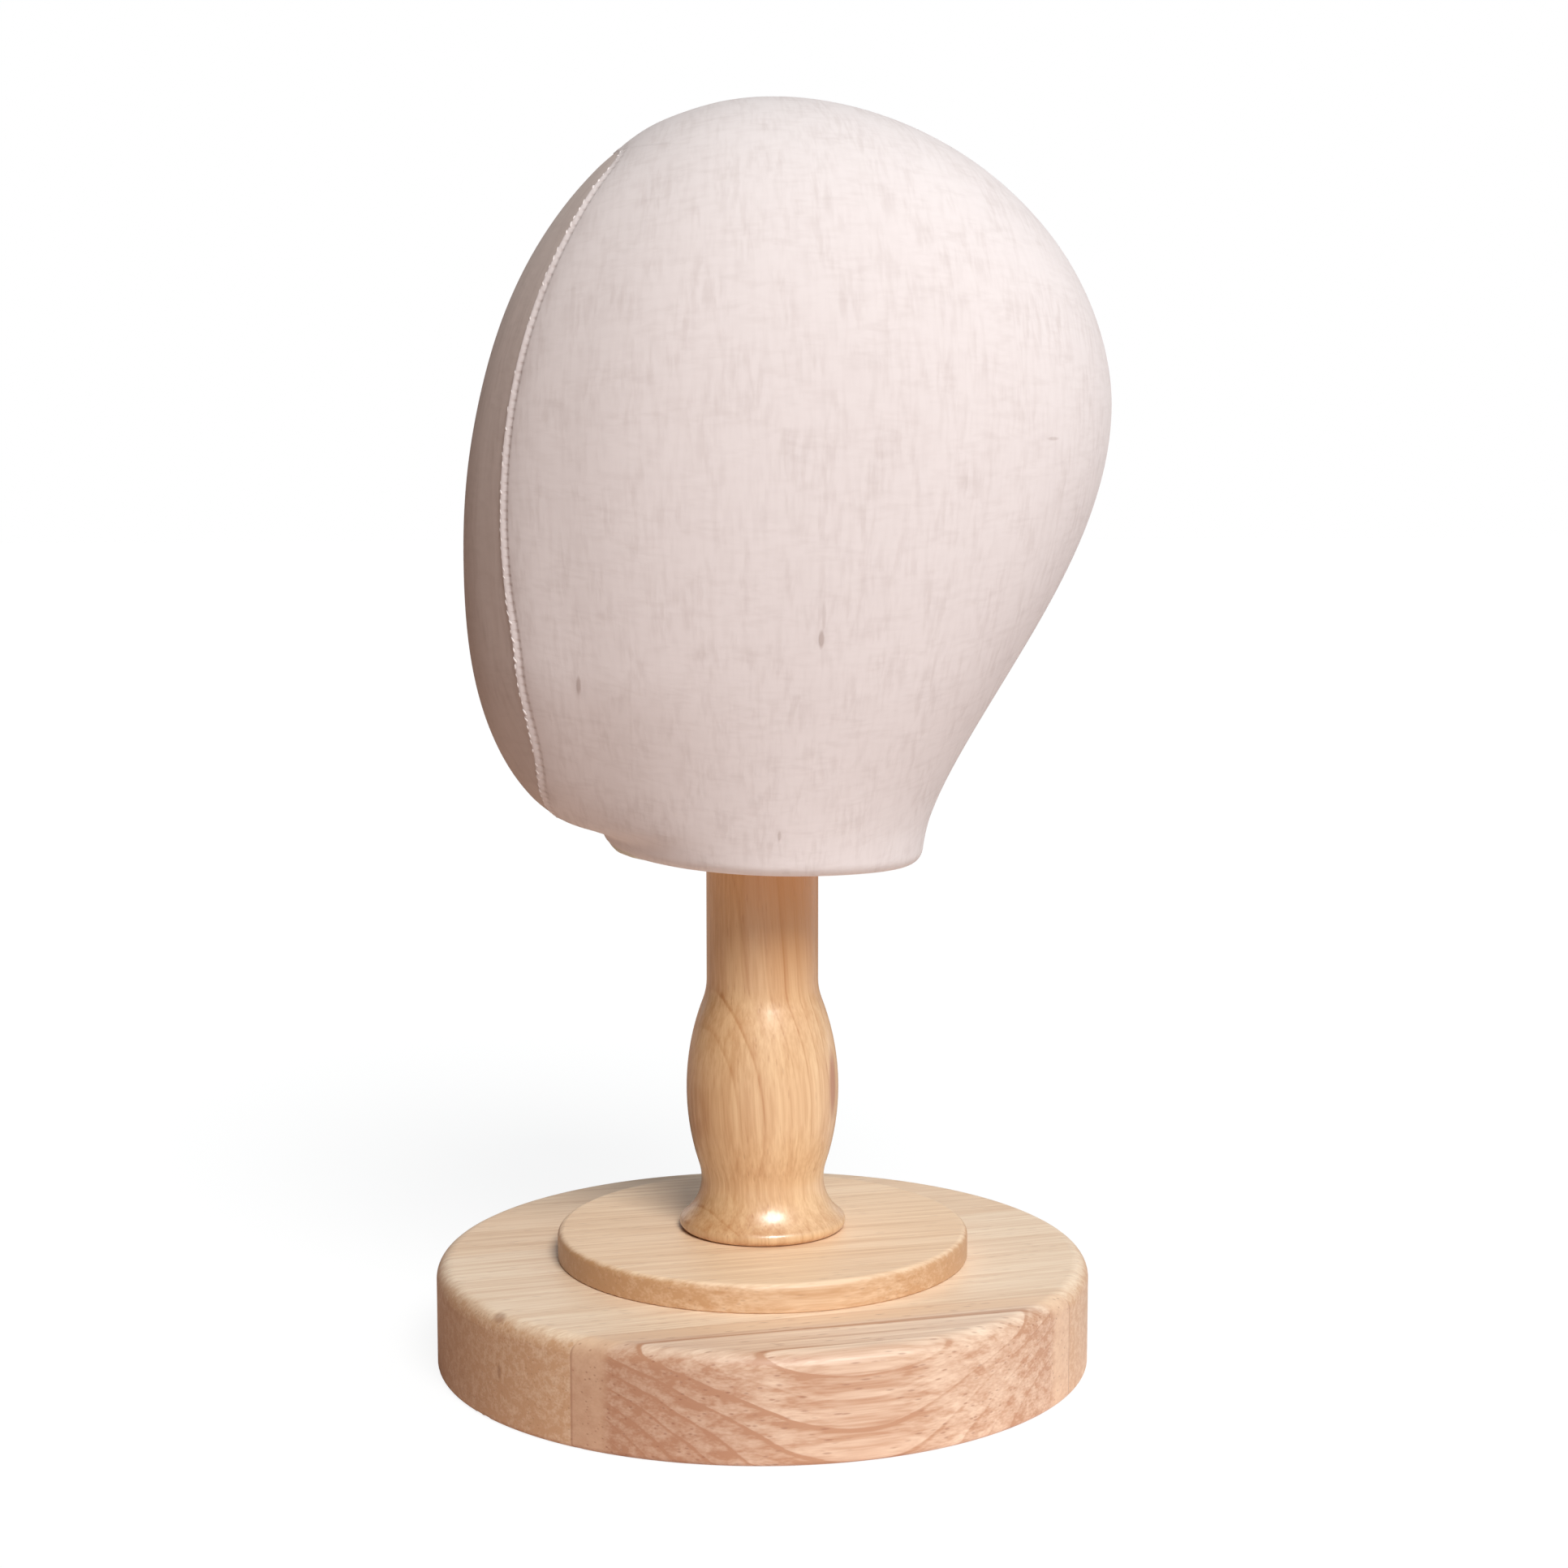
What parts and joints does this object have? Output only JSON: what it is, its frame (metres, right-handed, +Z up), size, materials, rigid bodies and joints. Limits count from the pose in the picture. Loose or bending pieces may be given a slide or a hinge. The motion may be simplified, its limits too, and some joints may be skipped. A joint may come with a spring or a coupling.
{
  "type": "wig stand",
  "caption": "Linen-covered featureless block head that turns and lifts off a turned wooden stem on a round wooden base, for holding a wig or hat.",
  "frame": {"origin": "on the stem's axis, in the plane that the base rests on", "axes": "+Z up along the stem's axis; the face looks towards -Y and the head's left side is towards +X"},
  "size_m": [0.2, 0.2036, 0.3805],
  "materials": {
    "base_wood_pink": "satin",
    "base_wood_pale": "satin",
    "stem_wood": "gloss",
    "insert_brass": "satin",
    "bolt_steel": "satin",
    "bush_plastic": "matte",
    "core_foam": "matte",
    "linen": "matte"
  },
  "bodies": {
    "stand": {"base_front_board": "base_wood_pink", "base_middle_board": "base_wood_pale", "base_rear_board": "base_wood_pale", "plinth_disc": "base_wood_pale", "stem": "stem_wood", "stem_insert": "insert_brass", "base_bolt": "bolt_steel", "bolt_washer": "bolt_steel"},
    "bush": {"neck_bush": "bush_plastic"},
    "head": {"head_core": "core_foam", "face_panel": "linen", "side_panel_left": "linen", "side_panel_right": "linen", "neck_patch": "linen"}
  },
  "joints": [
    {"name": "head_lift", "type": "slide", "parent": "stand", "child": "bush", "axis": [0, 0, 1], "range_m": [0, 0.08]},
    {"name": "head_turn", "type": "hinge", "parent": "bush", "child": "head", "pos_m": [0, 0, 0.19], "axis": [0, 0, 1], "continuous": true}
  ]
}
